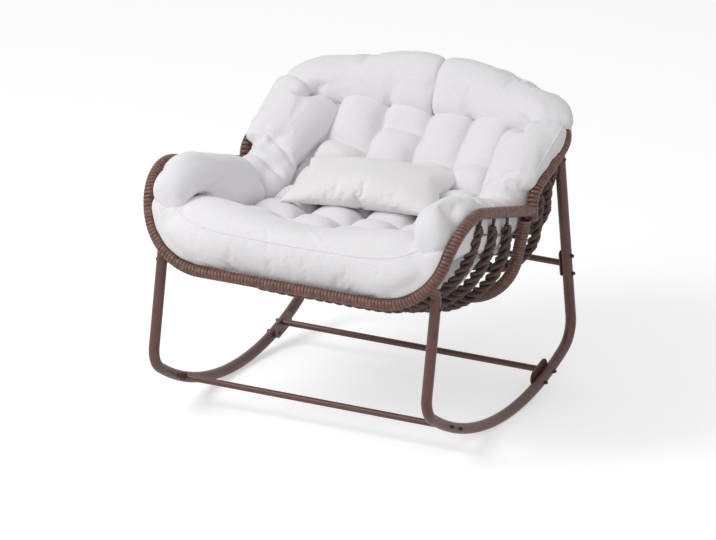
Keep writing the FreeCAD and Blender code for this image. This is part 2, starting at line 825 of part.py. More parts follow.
WING_STATIONS = (
    # share of the way from the arm to the head, climb in degrees, shares of width and thickness
    (0.0, 0, 0.72, 0.92),
    (0.23, 25, 0.84, 1.0),
    (0.5, 28, 0.95, 1.0),
    (0.7, 28, 1.0, 1.0),
    (0.87, 26, 0.98, 0.92),
    (1.0, 24, 0.8, 0.62),
)


def wing_shape():
    """Broad side bolster that climbs from the arm to the head, its outer edge up against the arch."""
    tilt = math.radians(size("wing_tilt"))
    foot_y = size("arm_rear_y") + size("seam_gap")
    foot = Vector(side_x - size("wing_foot_inset"), foot_y, size("wing_foot_z"))
    top = Vector(side_x - size("wing_top_inset"), size("wing_top_y"), size("wing_top_z"))
    sections = []
    for share, climb, width, height in WING_STATIONS:
        centre = mix(foot, top, share)
        slope = math.radians(climb)
        level = Vector(1, 0, 0)
        square = Vector(0, -math.sin(slope), math.cos(slope))
        across = level * math.cos(tilt) + square * math.sin(tilt)
        up = square * math.cos(tilt) - level * math.sin(tilt)
        half_width = width * size("wing_half_width")
        sections.append(oval(centre, across, up, half_width, height * size("wing_half_thickness")))
    return lofted(sections)


HEAD_STATIONS = (
    # shares of the length, of the forward sweep and of the drop, then of thickness and height
    (0.0, 0.0, 0.0, 0.86, 0.93),
    (0.1, 0.0, 0.0, 1.0, 1.0),
    (0.24, 0.0, 0.03, 1.0, 1.0),
    (0.48, 0.09, 0.23, 1.0, 0.95),
    (0.69, 0.38, 0.52, 0.94, 0.82),
    (0.85, 0.69, 0.81, 0.78, 0.6),
    (1.0, 1.0, 1.0, 0.42, 0.32),
)


def head_shape():
    """Head bolster on one side of the centre seam, in front of and over the arch."""
    lean = math.radians(size("head_lean"))
    up = Vector(0, math.sin(lean), math.cos(lean))
    across = Vector(0, math.cos(lean), -math.sin(lean))
    length = side_x - size("head_inset")
    sections = []
    for share, forward, drop, thick, tall in HEAD_STATIONS:
        centre = Vector(
            size("seam_gap") / 2 + length * share,
            size("head_centre_y") - forward * size("head_forward"),
            size("head_centre_z") - drop * size("head_drop"),
        )
        sections.append(
            oval(centre, across, up, thick * size("head_half_thickness"), tall * size("head_half_height"))
        )
    return lofted(sections)


ROLL_STATIONS = (
    # share of the half length, lift of the underside, fullness
    (-1.0, 2.4, 0.55),
    (-0.9, 1.5, 0.85),
    (-0.62, 0.22, 1.0),
    (0.0, 0.0, 1.0),
    (0.62, 0.22, 1.0),
    (0.9, 1.5, 0.85),
    (1.0, 2.4, 0.55),
)


def roll_shape():
    """Front roll between the arms: full crown, front bulging over the rail, ends drawn in and lifted."""
    rail_y = rail_front.y
    rear = size("roll_rear_y") - size("seam_gap")
    middle_y = (rail_y + rear) / 2
    lip = size("roll_lip")
    seat_z = rail_front.z + wrap_radius + size("soft_clearance")
    sections = []
    for share, lift, full in ROLL_STATIONS:
        x = (side_x - size("roll_inset")) * share
        floor = seat_z + lift * size("roll_end_rise")
        height = full * (size("roll_top_z") + abs(share) * size("roll_end_rise") - floor)
        seam = floor + size("roll_seam_share") * height
        inset = (1 - full) * size("roll_end_inset")
        low_rear = Vector(x, rear, floor - size("roll_depth") + lift * size("roll_end_depth_rise"))
        high_rear = Vector(x, rear, seam + lip)
        low_front = Vector(x, rail_y + lip + inset, floor)
        bulge = Vector(x, rail_y - size("roll_front_bulge") * full + inset, (floor + seam) / 2)
        high_front = Vector(x, rail_y + size("roll_setback") + inset, seam + 2 * lip)
        crest = Vector(x, middle_y, floor + height)
        hollow = Vector(x, middle_y, (floor + low_rear.z) / 2 + lip)
        sections.append(
            Part.Wire(
                [
                    Part.Arc(low_front, bulge, high_front).toShape(),
                    Part.Arc(high_front, crest, high_rear).toShape(),
                    Part.LineSegment(high_rear, low_rear).toShape(),
                    Part.Arc(low_rear, hollow, low_front).toShape(),
                ]
            )
        )
    return lofted(sections)


def seat_floor(y):
    """Height of the cushion's underside, just clear of the line over the seat ribs."""
    slope = math.atan(size("rib_bottom_step") / size("rib_pitch"))
    axis = size("rib_first_bottom") - (y - size("rib_first_y")) * math.tan(slope)
    return axis + size("rib_radius") / math.cos(slope) + size("pad_floor_gap")


PAD_CROWN_LINE = (
    # shares of the pad's length and of its rise at each cross seam, from the roll to the head
    (0.0, 0.168),
    (0.173, 0.053),
    (0.347, 0.0),
    (0.52, 0.053),
    (0.665, 0.232),
    (0.795, 0.495),
    (0.91, 0.758),
    (1.0, 1.0),
)
SEAT_ROWS = 3
pad_profile = []
for number, (along, rise) in enumerate(PAD_CROWN_LINE):
    y = size("roll_rear_y") + along * (size("pad_rear_y") - size("roll_rear_y"))
    crown = Vector(0, y, size("pad_low_z") + rise * size("pad_rise"))
    if number < SEAT_ROWS:
        floor = Vector(0, y, seat_floor(y))
    elif number == SEAT_ROWS:
        floor = Vector(0, hoop_low.y, hoop_low.z) + Vector(0, 1, 1) * (2 * size("rib_radius"))
    else:
        low = back_rib_lows[number - SEAT_ROWS - 1]
        under = Vector(0, low.y, low.z)
        floor = under + unit(crown - under) * (size("rib_radius") + size("pad_rib_gap"))
    pad_profile.append((crown, floor))


def pad_section(crown, floor, half_width, puff):
    """One cross-section of the pad: columns that swell with the puff on top, hollow of the ribs below."""
    up = unit(crown - floor)
    valley = crown - up * (size("pad_crown") + size("pad_tuft_depth") * (1 - puff))
    columns = int(size("pad_columns"))
    tufted = half_width - size("pad_border")
    width = 2 * tufted / columns
    peak = size("pad_crown") * (puff + (1 - puff) * size("pad_seam_share"))
    flat = size("pad_flat_share") * half_width
    rise = min(size("pad_side_share") * half_width, size("pad_side_limit") * (valley - floor).Length)
    side = floor + up * rise
    knee = floor + up * (size("pad_knee_share") * rise)

    def across(level, x):
        return level + Vector(x, 0, 0)

    edges = [Part.LineSegment(across(valley, -half_width), across(valley, -tufted)).toShape()]
    for column in range(columns):
        x = -tufted + column * width
        swell = across(valley, x + width / 2) + up * peak
        edges.append(Part.Arc(across(valley, x), swell, across(valley, x + width)).toShape())
    middle = (flat + half_width) / 2
    edges += [
        Part.LineSegment(across(valley, tufted), across(valley, half_width)).toShape(),
        Part.LineSegment(across(valley, half_width), across(side, half_width)).toShape(),
        Part.Arc(across(side, half_width), across(knee, middle), across(floor, flat)).toShape(),
        Part.LineSegment(across(floor, flat), across(floor, -flat)).toShape(),
        Part.Arc(across(floor, -flat), across(knee, -middle), across(side, -half_width)).toShape(),
        Part.LineSegment(across(side, -half_width), across(valley, -half_width)).toShape(),
    ]
    return Part.Wire(edges)


ROW_SECTIONS = 4


def pad_shape(first, last, gap):
    """A stretch of the tufted pad: a cross seam at each profile point and a swell midway between."""
    rows = len(pad_profile) - 1
    sections = []
    for step in range(ROW_SECTIONS * first, ROW_SECTIONS * last + 1):
        row = min(step // ROW_SECTIONS, rows - 1)
        share = step / ROW_SECTIONS - row
        crown = mix(pad_profile[row][0], pad_profile[row + 1][0], share)
        floor = mix(pad_profile[row][1], pad_profile[row + 1][1], share)
        if step == ROW_SECTIONS * first:
            shift = unit(pad_profile[row + 1][0] - crown) * gap
            crown, floor = crown + shift, floor + shift
        half_width = side_x - mix(size("pad_inset"), size("pad_top_inset"), (row + share) / rows)
        sections.append(pad_section(crown, floor, half_width, math.sin(math.pi * share) ** 2))
    return lofted(sections)


def pillow_shape():
    """Knife-edged lumbar pillow, thickest in the middle, lying in the X-Y plane about its own centre."""
    stations = (
        # place along the half length, shares of height and thickness
        (-1.0, 0.92, 0.06),
        (-0.92, 0.96, 0.4),
        (-0.7, 0.99, 0.78),
        (-0.35, 1.0, 0.96),
        (0.0, 1.0, 1.0),
        (0.35, 1.0, 0.96),
        (0.7, 0.99, 0.78),
        (0.92, 0.96, 0.4),
        (1.0, 0.92, 0.06),
    )
    sections = []
    for share, tall, thick in stations:
        x = share * size("pillow_length") / 2
        height = tall * size("pillow_height") / 2
        depth = thick * size("pillow_thickness") / 2
        low, high = Vector(x, -height, 0), Vector(x, height, 0)
        sections.append(
            Part.Wire(
                [
                    Part.Arc(low, Vector(x, 0, depth), high).toShape(),
                    Part.Arc(high, Vector(x, 0, -depth), low).toShape(),
                ]
            )
        )
    return lofted(sections)


def rested(shape, support, down, clearance):
    """The shape moved along a direction until it lies a clearance off its support."""
    for _ in range(12):
        gap = shape.distToShape(support)[0]
        if gap < clearance * 1.1:
            break
        shape.translate(down * (gap - clearance))
    return shape


# The basket with a clearance all round it, and the room under the back ribs that the lift needs:
# every chamber is kept out of these
keep_out = [swept(path, wrap_radius + size("soft_clearance")) for path in (rail_path, arch_path)]
rib_room = size("rib_radius") + size("soft_clearance")
lift_room = Vector(0, 0, -size("rib_radius"))
for name, path in ribs.items():
    keep_out.append(swept(path, rib_room))
    if name.startswith("back"):
        keep_out.append(swept(path.translated(lift_room), rib_room + size("lift_clearance")))


def chamber(shape, neighbours=()):
    """A cushion chamber kept out of the basket and of the chambers sewn before it."""
    for tool in [*keep_out, *neighbours]:
        shape = largest_solid(shape.cut(tool))
    return shape


roll = chamber(roll_shape())
arm = chamber(arm_shape(), [roll])
head = chamber(head_shape())
wing = chamber(wing_shape(), [head])
sides = [arm, flipped(arm), wing, flipped(wing), head, flipped(head)]
seat_pad = chamber(pad_shape(0, SEAT_ROWS, 0.0), sides)
back_pad = chamber(pad_shape(SEAT_ROWS, len(pad_profile) - 1, size("seam_gap")), sides)
add_node("cushion_front_roll", roll)
add_node("cushion_seat_pad", seat_pad)
add_node("cushion_back_pad", back_pad)
for name, shape in (("arm", arm), ("wing", wing), ("head", head)):
    add_node(f"cushion_right_{name}", shape)
    add_node(f"cushion_left_{name}", flipped(shape))

slope = Rotation(Vector(1, 0, 0), size("pillow_slope"))
turn = Rotation(Vector(0, 0, 1), size("pillow_turn")).multiply(slope)
pillow = pillow_shape()
face = turn.multVec(Vector(0, 0, 1))
over_pad = Vector(size("pillow_x"), size("pillow_y"), pad_profile[SEAT_ROWS + 1][0].z)
pillow.Placement = Placement(over_pad + face * size("pillow_drop"), turn)
supports = Part.makeCompound([seat_pad, back_pad, wing, flipped(wing), arm, flipped(arm)])
add_node("lumbar_pillow", rested(pillow, supports, face * -1, size("soft_clearance")))

doc.recompute()
for item in doc.Objects:
    if "Invalid" in item.State or "Error" in item.State:
        raise RuntimeError(f"{item.Label} failed: {item.State}")
for node in nodes:
    if node.Shape.isNull() or not node.Shape.isValid() or not node.Shape.Solids:
        raise RuntimeError(f"{node.Label} has no valid solid")

os.makedirs("parts", exist_ok=True)
for node in nodes:
    node.Shape.exportStep(f"parts/{node.Label}.step")
print(f"{len(nodes)} nodes written")
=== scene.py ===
"""Looks of the papasan rocking chair: coated steel, wound strand, and a stuffed, tufted cushion."""

import math

import bmesh
import bpy
from mathutils import Matrix, Vector, kdtree, noise
from mathutils.bvhtree import BVHTree


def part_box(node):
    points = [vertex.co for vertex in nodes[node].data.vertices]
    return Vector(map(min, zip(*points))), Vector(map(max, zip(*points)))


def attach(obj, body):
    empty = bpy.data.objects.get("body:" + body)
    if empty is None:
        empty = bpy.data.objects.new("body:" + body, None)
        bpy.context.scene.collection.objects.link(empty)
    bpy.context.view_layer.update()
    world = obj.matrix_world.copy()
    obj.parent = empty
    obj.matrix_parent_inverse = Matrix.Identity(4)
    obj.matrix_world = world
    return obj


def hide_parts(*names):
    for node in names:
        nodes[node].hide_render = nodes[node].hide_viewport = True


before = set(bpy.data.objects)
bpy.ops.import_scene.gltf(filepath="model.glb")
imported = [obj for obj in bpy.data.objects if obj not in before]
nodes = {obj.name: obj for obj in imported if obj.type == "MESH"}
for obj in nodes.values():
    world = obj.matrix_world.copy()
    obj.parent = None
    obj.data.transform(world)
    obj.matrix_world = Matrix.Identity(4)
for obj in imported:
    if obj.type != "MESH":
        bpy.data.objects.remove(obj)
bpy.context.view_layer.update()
scene = bpy.context.scene
MM = 0.001


# Finishes

COAT_CLOUD = 45
COAT_PEEL = 2.5
STRAND_STREAK = 16
STRAND_GRIT = 1.6
COVER_SLUB = 5
COVER_PUCKER = 42
COATING_IOR = 1.5


def linear(hex_colour):
    """An sRGB hex colour as linear red, green, blue and alpha."""
    channels = [int(hex_colour[i:i + 2], 16) / 255 for i in (1, 3, 5)]
    return [c / 12.92 if c <= 0.04045 else ((c + 0.055) / 1.055) ** 2.4 for c in channels] + [1.0]


def add_node(tree, kind, settings=None, inputs=None):
    """Adds a node, applies its settings, and sets or links its inputs."""
    node = tree.nodes.new(kind)
    for name, value in (settings or {}).items():
        setattr(node, name, value)
    for name, value in (inputs or {}).items():
        if isinstance(value, bpy.types.NodeSocket):
            tree.links.new(value, node.inputs[name])
        else:
            node.inputs[name].default_value = value
    return node


def new_finish(name):
    """An empty node material, with its tree and the piece's own coordinates."""
    material = bpy.data.materials.new(name)
    material.use_nodes = True
    tree = material.node_tree
    tree.nodes.clear()
    coords = add_node(tree, "ShaderNodeTexCoord")
    return material, tree, coords


def per_size(millimetres):
    """The texture scale whose features are about that size."""
    return 1 / (millimetres * MM)


def two_tone(tree, factor, dark, pale):
    """A colour between two hex tones."""
    ramp = add_node(tree, "ShaderNodeValToRGB", None, {"Fac": factor})
    ramp.color_ramp.elements[0].position = 0.3
    ramp.color_ramp.elements[1].position = 0.7
    ramp.color_ramp.elements[0].color = linear(dark)
    ramp.color_ramp.elements[1].color = linear(pale)
    return ramp.outputs["Color"]


def coated_steel(name, dark, pale, rough):
    """Polyester powder coat on steel: satin, with the fine orange peel that baking leaves."""
    material, tree, coords = new_finish(name)
    place = coords.outputs["Object"]
    clouds = add_node(
        tree, "ShaderNodeTexNoise", None, {"Vector": place, "Scale": per_size(COAT_CLOUD), "Detail": 3.0}
    )
    peel = add_node(
        tree, "ShaderNodeTexNoise", None, {"Vector": place, "Scale": per_size(COAT_PEEL), "Detail": 2.0}
    )
    bump = add_node(
        tree, "ShaderNodeBump", None, {"Height": peel.outputs["Fac"], "Strength": 0.12, "Distance": 0.4 * MM}
    )
    gloss = add_node(
        tree,
        "ShaderNodeMapRange",
        None,
        {"Value": clouds.outputs["Fac"], "To Min": rough - 0.06, "To Max": rough + 0.08},
    )
    shader = add_node(
        tree,
        "ShaderNodeBsdfPrincipled",
        None,
        {
            "Base Color": two_tone(tree, clouds.outputs["Fac"], dark, pale),
            "Roughness": gloss.outputs["Result"],
            "Normal": bump.outputs["Normal"],
            "IOR": COATING_IOR,
        },
    )
    add_node(tree, "ShaderNodeOutputMaterial", None, {"Surface": shader.outputs["BSDF"]})
    return material


def extruded_strand(name, dark, pale):
    """Extruded polyethylene strand: streaked brown, satin, with a finely roughened skin."""
    material, tree, coords = new_finish(name)
    place = coords.outputs["Object"]
    streak = add_node(
        tree, "ShaderNodeTexNoise", None, {"Vector": place, "Scale": per_size(STRAND_STREAK), "Detail": 4.0}
    )
    grit = add_node(
        tree, "ShaderNodeTexNoise", None, {"Vector": place, "Scale": per_size(STRAND_GRIT), "Detail": 3.0}
    )
    bump = add_node(
        tree, "ShaderNodeBump", None, {"Height": grit.outputs["Fac"], "Strength": 0.3, "Distance": 0.5 * MM}
    )
    shader = add_node(
        tree,
        "ShaderNodeBsdfPrincipled",
        None,
        {
            "Base Color": two_tone(tree, streak.outputs["Fac"], dark, pale),
            "Roughness": 0.46,
            "Normal": bump.outputs["Normal"],
            "IOR": COATING_IOR,
        },
    )
    add_node(tree, "ShaderNodeOutputMaterial", None, {"Surface": shader.outputs["BSDF"]})
    return material


def woven_cover(name, dark, pale, thread):
    """Spun polyester cover: matt, in a plain weave drawn coarser than its 0.5 mm thread so it shows."""
    material, tree, coords = new_finish(name)
    place = coords.outputs["Object"]
    parts = add_node(tree, "ShaderNodeSeparateXYZ", None, {"Vector": place})
    waves = []
    for axis in ("X", "Y"):
        along = add_node(
            tree,
            "ShaderNodeMath",
            {"operation": "MULTIPLY_ADD"},
            {0: parts.outputs["Z"], 1: 0.8, 2: parts.outputs[axis]},
        )
        turn = add_node(
            tree,
            "ShaderNodeMath",
            {"operation": "MULTIPLY"},
            {0: along.outputs[0], 1: math.tau * per_size(thread)},
        )
        waves.append(add_node(tree, "ShaderNodeMath", {"operation": "SINE"}, {0: turn.outputs[0]}))
    weave = add_node(
        tree, "ShaderNodeMath", {"operation": "MULTIPLY"}, {0: waves[0].outputs[0], 1: waves[1].outputs[0]}
    )
    slub = add_node(
        tree, "ShaderNodeTexNoise", None, {"Vector": place, "Scale": per_size(COVER_SLUB), "Detail": 4.0}
    )
    pucker = add_node(
        tree,
        "ShaderNodeTexNoise",
        None,
        {"Vector": place, "Scale": per_size(COVER_PUCKER), "Detail": 3.0, "Distortion": 0.6},
    )
    fine = add_node(
        tree,
        "ShaderNodeMath",
        {"operation": "MULTIPLY_ADD"},
        {0: weave.outputs[0], 1: 0.35, 2: slub.outputs["Fac"]},
    )
    ripple = add_node(
        tree, "ShaderNodeBump", None, {"Height": pucker.outputs["Fac"], "Strength": 0.35, "Distance": 5 * MM}
    )
    bump = add_node(
        tree,
        "ShaderNodeBump",
        None,
        {
            "Height": fine.outputs[0],
            "Strength": 0.2,
            "Distance": 0.5 * MM,
            "Normal": ripple.outputs["Normal"],
        },
    )
    shader = add_node(
        tree,
        "ShaderNodeBsdfPrincipled",
        None,
        {
            "Base Color": two_tone(tree, slub.outputs["Fac"], dark, pale),
            "Roughness": 0.9,
            "Sheen Weight": 0.15,
            "Normal": bump.outputs["Normal"],
        },
    )
    add_node(tree, "ShaderNodeOutputMaterial", None, {"Surface": shader.outputs["BSDF"]})
    return material


brown_coat = coated_steel("powder_coated_steel_brown", "#56382F", "#644238", 0.4)
black_coat = coated_steel("powder_coated_steel_black", "#1B1818", "#262121", 0.45)
strand_brown = extruded_strand("polyethylene_strand_brown", "#54392F", "#805B4D")
rope_brown = extruded_strand("polyethylene_strand_rope", "#3B2A26", "#5E443B")
cover_white = woven_cover("spun_polyester_cover", "#E4E2E4", "#ECEAEC", 2.2)
pillow_white = woven_cover("spun_polyester_pillow", "#E6E4E5", "#EEECED", 1.8)


# Routes: straight runs with tangent arcs, as the tubes were bent

def spot(x, y, z):
    """A place in millimetres."""
    return Vector((x, y, z)) * MM


def on_side(vector, sign):
    """A place or direction of the right side, kept there with 1 or carried to the left with -1."""
    return Vector((sign * vector.x, vector.y, vector.z))


def carried_over(points):
    """A route given on the right side, carried over to the left."""
    return points + [on_side(p, -1) for p in reversed(points)]


def bent_route(points, radii, step):
    """Evenly spaced points along the runs and arcs of a bent tube."""
    line = [points[0]]
    for before, corner, after, radius in zip(points, points[1:], points[2:], radii):
        back, ahead = (before - corner).normalized(), (after - corner).normalized()
        half_turn = (math.pi - back.angle(ahead)) / 2
        reach = radius * math.tan(half_turn)
        centre = corner + (back + ahead).normalized() * (radius / math.cos(half_turn))
        enter, leave = corner + back * reach - centre, corner + ahead * reach - centre
        pieces = max(2, int(2 * half_turn * radius / step))
        enter.normalize()
        leave.normalize()
        line += [centre + enter.slerp(leave, i / pieces) * radius for i in range(pieces + 1)]
    line.append(points[-1])
    even = [line[0]]
    left = step
    for a, b in zip(line, line[1:]):
        length = (b - a).length
        while left <= length:
            even.append(a.lerp(b, left / length))
            left += step
        left -= length
    return even


def frames_along(route):
    """Each point with its direction and two square directions that do not spin along the route."""
    frames = []
    side = None
    for i, point in enumerate(route):
        ahead = (route[min(i + 1, len(route) - 1)] - route[max(i - 1, 0)]).normalized()
        if side is None:
            side = ahead.orthogonal().normalized()
        side = (side - ahead * side.dot(ahead)).normalized()
        frames.append((point, ahead, side, ahead.cross(side)))
    return frames


def route_slice(route, start, end):
    """The route without a length at each end."""
    step = (route[1] - route[0]).length
    return route[round(start / step):len(route) - round(end / step)]


def show(name, mesh, finish, body):
    """A finished mesh as a piece that rides on a body."""
    piece = bpy.data.objects.new(name, mesh)
    scene.collection.objects.link(piece)
    mesh.materials.clear()
    mesh.materials.append(finish)
    for polygon in mesh.polygons:
        polygon.use_smooth = True
    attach(piece, body)
    return piece


def strand_mesh(name, lines, radius):
    """Six-sided strands along lines of points, as one mesh."""
    curve = bpy.data.curves.new(name, "CURVE")
    curve.dimensions = "3D"
    curve.bevel_depth = radius
    curve.bevel_resolution = 1
    curve.use_fill_caps = True
    for line in lines:
        spline = curve.splines.new("POLY")
        spline.points.add(len(line) - 1)
        spline.points.foreach_set("co", [c for p in line for c in (p.x, p.y, p.z, 1.0)])
    holder = bpy.data.objects.new(name, curve)
    mesh = bpy.data.meshes.new_from_object(holder)
    bpy.data.objects.remove(holder)
    bpy.data.curves.remove(curve)
    return mesh


CAP_WELD = 0.001 * MM


def sealed(mesh):
    """The mesh with the caps of its strands joined to their ends."""
    shell = bmesh.new()
    shell.from_mesh(mesh)
    bmesh.ops.remove_doubles(shell, verts=shell.verts, dist=CAP_WELD)
    shell.to_mesh(mesh)
    shell.free()
    return mesh


TURN_POINTS = 14
HALF_WIDTH_SHARE = 0.56


def wound_line(route, core, pitch):
    """The middle of a strand wound round a route."""
    step = (route[1] - route[0]).length
    line = []
    for i, (point, _, side, up) in enumerate(frames_along(route)):
        angle = math.tau * i * step / pitch
        line.append(point + (side * math.cos(angle) + up * math.sin(angle)) * core)
    return line


def wound_mesh(name, route, core, pitch, thickness):
    """Flat strand wound edge to edge round a tube."""
    line = wound_line(route, core, pitch)
    half_width = pitch * HALF_WIDTH_SHARE
    mesh = strand_mesh(name, [line], half_width)
    # A filled curve gives its end cap, its start cap and then its rings
    rings = [len(line) - 1, 0, *range(len(line))]
    sides = len(mesh.vertices) // len(rings)
    squeeze = thickness / 2 / half_width
    for place, i in enumerate(rings):
        outward = (line[i] - route[i]).normalized()
        for vertex in mesh.vertices[place * sides:(place + 1) * sides]:
            reach = (vertex.co - line[i]).dot(outward)
            vertex.co -= outward * reach * (1 - squeeze)
    return sealed(mesh)


def winding(name, node, points, radii, strand, trim):
    """A wound tube in place of its plain solid, with a length of it left bare at each end."""
    core, pitch, thickness = strand
    route = route_slice(bent_route(points, radii, pitch / TURN_POINTS), trim, trim)
    piece = show(name, wound_mesh(name, route, core, pitch, thickness), strand_brown, "frame")
    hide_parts(node)


RAIL_POINTS = carried_over([spot(480, 115, 619), spot(523, -394, 767), spot(450, -486, 486)])
RAIL_RADII = [147 * MM, 200 * MM, 200 * MM, 147 * MM]
ARCH_POINTS = carried_over(
    [spot(480, 115, 588), spot(480, 115, 666), spot(487, 372, 795), spot(240, 486, 830)]
)
ARCH_RADII = [55 * MM, 150 * MM, 480 * MM, 480 * MM, 150 * MM, 55 * MM]
# How far from the tube's middle the strand runs, its pitch and its thickness
TUBE_STRAND = (15 * MM, 11 * MM, 4 * MM)
HOOP_STRAND = (16.4 * MM, 9 * MM, 4.2 * MM)
RAIL_TRIM = 18 * MM
HOOP_TRIM = 26 * MM
winding("seat_rail_winding", "seat_rail_wrap", RAIL_POINTS, RAIL_RADII, TUBE_STRAND, RAIL_TRIM)
winding("back_arch_winding", "back_arch_wrap", ARCH_POINTS, ARCH_RADII, TUBE_STRAND, 0.0)


# Ribs: rods in fat twisted ropes

def rail_point(y):
    """The rail's middle on its straight rear run."""
    end, shoulder = RAIL_POINTS[0], RAIL_POINTS[1]
    return end.lerp(shoulder, (end.y - y * MM) / (end.y - shoulder.y))


def arch_point(y):
    """The arch's middle on its straight run up to the corner."""
    knee, corner = ARCH_POINTS[1], ARCH_POINTS[2]
    return knee.lerp(corner, (y * MM - knee.y) / (corner.y - knee.y))


RIBS = {
    # upper end and lower corner on the right side, and the radius of the bend there in millimetres
    "seat_rib_1": ([rail_point(-262), spot(419, -262, 390)], 328),
    "seat_rib_2": ([rail_point(-169), spot(452, -169, 365)], 306),
    "seat_rib_3": ([rail_point(-76), spot(485, -76, 340)], 284),
    "rear_hoop": ([rail_point(74), spot(440, 34, 350)], 165),
    "back_rib_1": ([arch_point(162), spot(430, 210, 383)], 190),
    "back_rib_2": ([arch_point(206), spot(412, 317.5, 456)], 190),
    "back_rib_3": ([arch_point(250), spot(372, 395, 549)], 190),
    "back_rib_4": ([ARCH_POINTS[2].lerp(ARCH_POINTS[3], 0.42), spot(330, 460, 664)], 190),
}
BEND_SHARE = 0.8
NECK = 44 * MM
ROPE_STEP = 6 * MM
ROPE_LAY = 96 * MM
ROPE_STRANDS = 3
ROPE_START = 1.7
ROPE_REACH = 10.0
ROPE_LUMP = 1.5
ROPE_SWAY = 0.5
LUMPS_PER_METRE = 22
GATHER_LENGTH = 22 * MM
GATHERED = 0.55
YARN_LAY = 58 * MM
YARNS = 5
YARN_RADIUS = 3.5 * MM
YARN_REACH = 5.0
YARN_SLACK = 0.16
SLACKS_PER_METRE = 30


def rope_lines(route, phase):
    """Yarns twisted into strands, and strands twisted into a rope that is drawn in at both ends."""
    step = (route[1] - route[0]).length
    total = step * (len(route) - 1)
    lines = []
    frames = frames_along(route)
    for strand in range(ROPE_STRANDS):
        middles = []
        for i, (point, ahead, side, up) in enumerate(frames):
            at = i * step
            end = min(1.0, min(at, total - at) / GATHER_LENGTH)
            gather = GATHERED + (1 - GATHERED) * math.sin(end * math.pi / 2)
            lump = noise.noise(Vector((at * LUMPS_PER_METRE, strand * 7.3, phase * 3.1)))
            reach = (ROPE_REACH + ROPE_LUMP * lump) * MM * gather
            angle = math.tau * (at / ROPE_LAY + strand / ROPE_STRANDS) + phase + ROPE_SWAY * lump
            out = side * math.cos(angle) + up * math.sin(angle)
            middles.append((point + out * reach, out, ahead.cross(out), gather))
        for yarn in range(YARNS):
            line = []
            for i, (middle, out, across, gather) in enumerate(middles):
                angle = math.tau * (i * step / YARN_LAY + yarn / YARNS)
                slack = noise.noise(Vector((i * step * SLACKS_PER_METRE, yarn * 5.1 + strand, phase)))
                reach = YARN_REACH * MM * gather * (1 + YARN_SLACK * slack)
                line.append(middle + (out * math.cos(angle) + across * math.sin(angle)) * reach)
            lines.append(line)
    return lines


for number, (rib, (points, bend)) in enumerate(RIBS.items()):
    ends = carried_over(points)
    radius = bend * MM
    if rib.startswith("back"):
        radius = min(radius, BEND_SHARE * (ends[0] - ends[1]).length)
    if rib == "rear_hoop":
        winding("rear_hoop_winding", "rear_hoop_wrap", ends, [radius] * 2, HOOP_STRAND, HOOP_TRIM)
        continue
    route = route_slice(bent_route(ends, [radius] * 2, ROPE_STEP), NECK, NECK)
    mesh = strand_mesh(f"{rib}_rope", rope_lines(route, ROPE_START * number), YARN_RADIUS)
    rope = show(f"{rib}_rope", sealed(mesh), rope_brown, "frame")
    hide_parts(f"{rib}_wrap")


# Coated tubes, rods and fasteners keep their solids

def repaint(node, finish):
    """Gives a solid its finish."""
    mesh = nodes[node].data
    mesh.materials.clear()
    mesh.materials.append(finish)


BROWN_NODES = ("crossbar", "plates", "tube", "rocker", "spigot")
for node in nodes:
    if node.endswith(("_bolts", "_cap_nuts", "_rod")):
        repaint(node, black_coat)
    elif any(word in node for word in BROWN_NODES):
        repaint(node, brown_coat)
    elif node == "rib_link_strands":
        repaint(node, rope_brown)


# Stuffed chambers

TUBE_STEP = 5 * MM
rail_route = bent_route(RAIL_POINTS, RAIL_RADII, TUBE_STEP)
arch_route = bent_route(ARCH_POINTS, ARCH_RADII, TUBE_STEP)
CHAIR_MIDDLE = spot(0, 60, 0)
UP = Vector((0, 0, 1))
SOLID_WELD = 0.05 * MM
SKIN_MESH = 6 * MM
SKIN_SMOOTHING = 20


def outward_at(route, i):
    """The level direction square to a route, away from the chair's middle."""
    ahead = route[min(i + 1, len(route) - 1)] - route[max(i - 1, 0)]
    out = ahead.cross(UP)
    if out.dot(route[i] - CHAIR_MIDDLE) < 0:
        out.negate()
    return out.normalized()


def beside(route, inward, up, wanted):
    """Places beside a route, over the stretch that is wanted."""
    return [p - outward_at(route, i) * inward + UP * up for i, p in enumerate(route) if wanted(p / MM)]


def filled_out(node, balls):
    """The chamber's solid with balls of stuffing joined to it, as one evenly meshed and smoothed skin."""
    mesh = nodes[node].data.copy()
    shell = bmesh.new()
    shell.from_mesh(mesh)
    bmesh.ops.remove_doubles(shell, verts=shell.verts, dist=SOLID_WELD)
    for place, radius in balls:
        bmesh.ops.create_icosphere(shell, subdivisions=2, radius=radius, matrix=Matrix.Translation(place))
    shell.to_mesh(mesh)
    shell.free()
    holder = bpy.data.objects.new(node + "_skin", mesh)
    scene.collection.objects.link(holder)
    remesh = holder.modifiers.new("skin", "REMESH")
    remesh.mode = "VOXEL"
    remesh.voxel_size = SKIN_MESH
    soften = holder.modifiers.new("soften", "SMOOTH")
    soften.factor = 0.5
    soften.iterations = SKIN_SMOOTHING
    skin = bpy.data.meshes.new_from_object(holder.evaluated_get(bpy.context.evaluated_depsgraph_get()))
    bpy.data.objects.remove(holder)
    return skin


def kept_off(mesh, route, room):
    """Moves a skin off a tube and off all that is straight below the tube, so that it lifts out freely."""
    tree = kdtree.KDTree(len(route))
    for i, point in enumerate(route):
        tree.insert(point, i)
    tree.balance()
    for vertex in mesh.vertices:
        point, i, far = tree.find(vertex.co)
        if far > 4 * room:
            continue
        out = outward_at(route, i)
        off = (vertex.co - point).dot(out)
        rise = vertex.co.z - point.z
        if rise < 0 and off > -room:
            vertex.co -= out * (off + room)
        elif rise >= 0 and far < room:
            vertex.co = point + (vertex.co - point) * (room / max(far, MM))


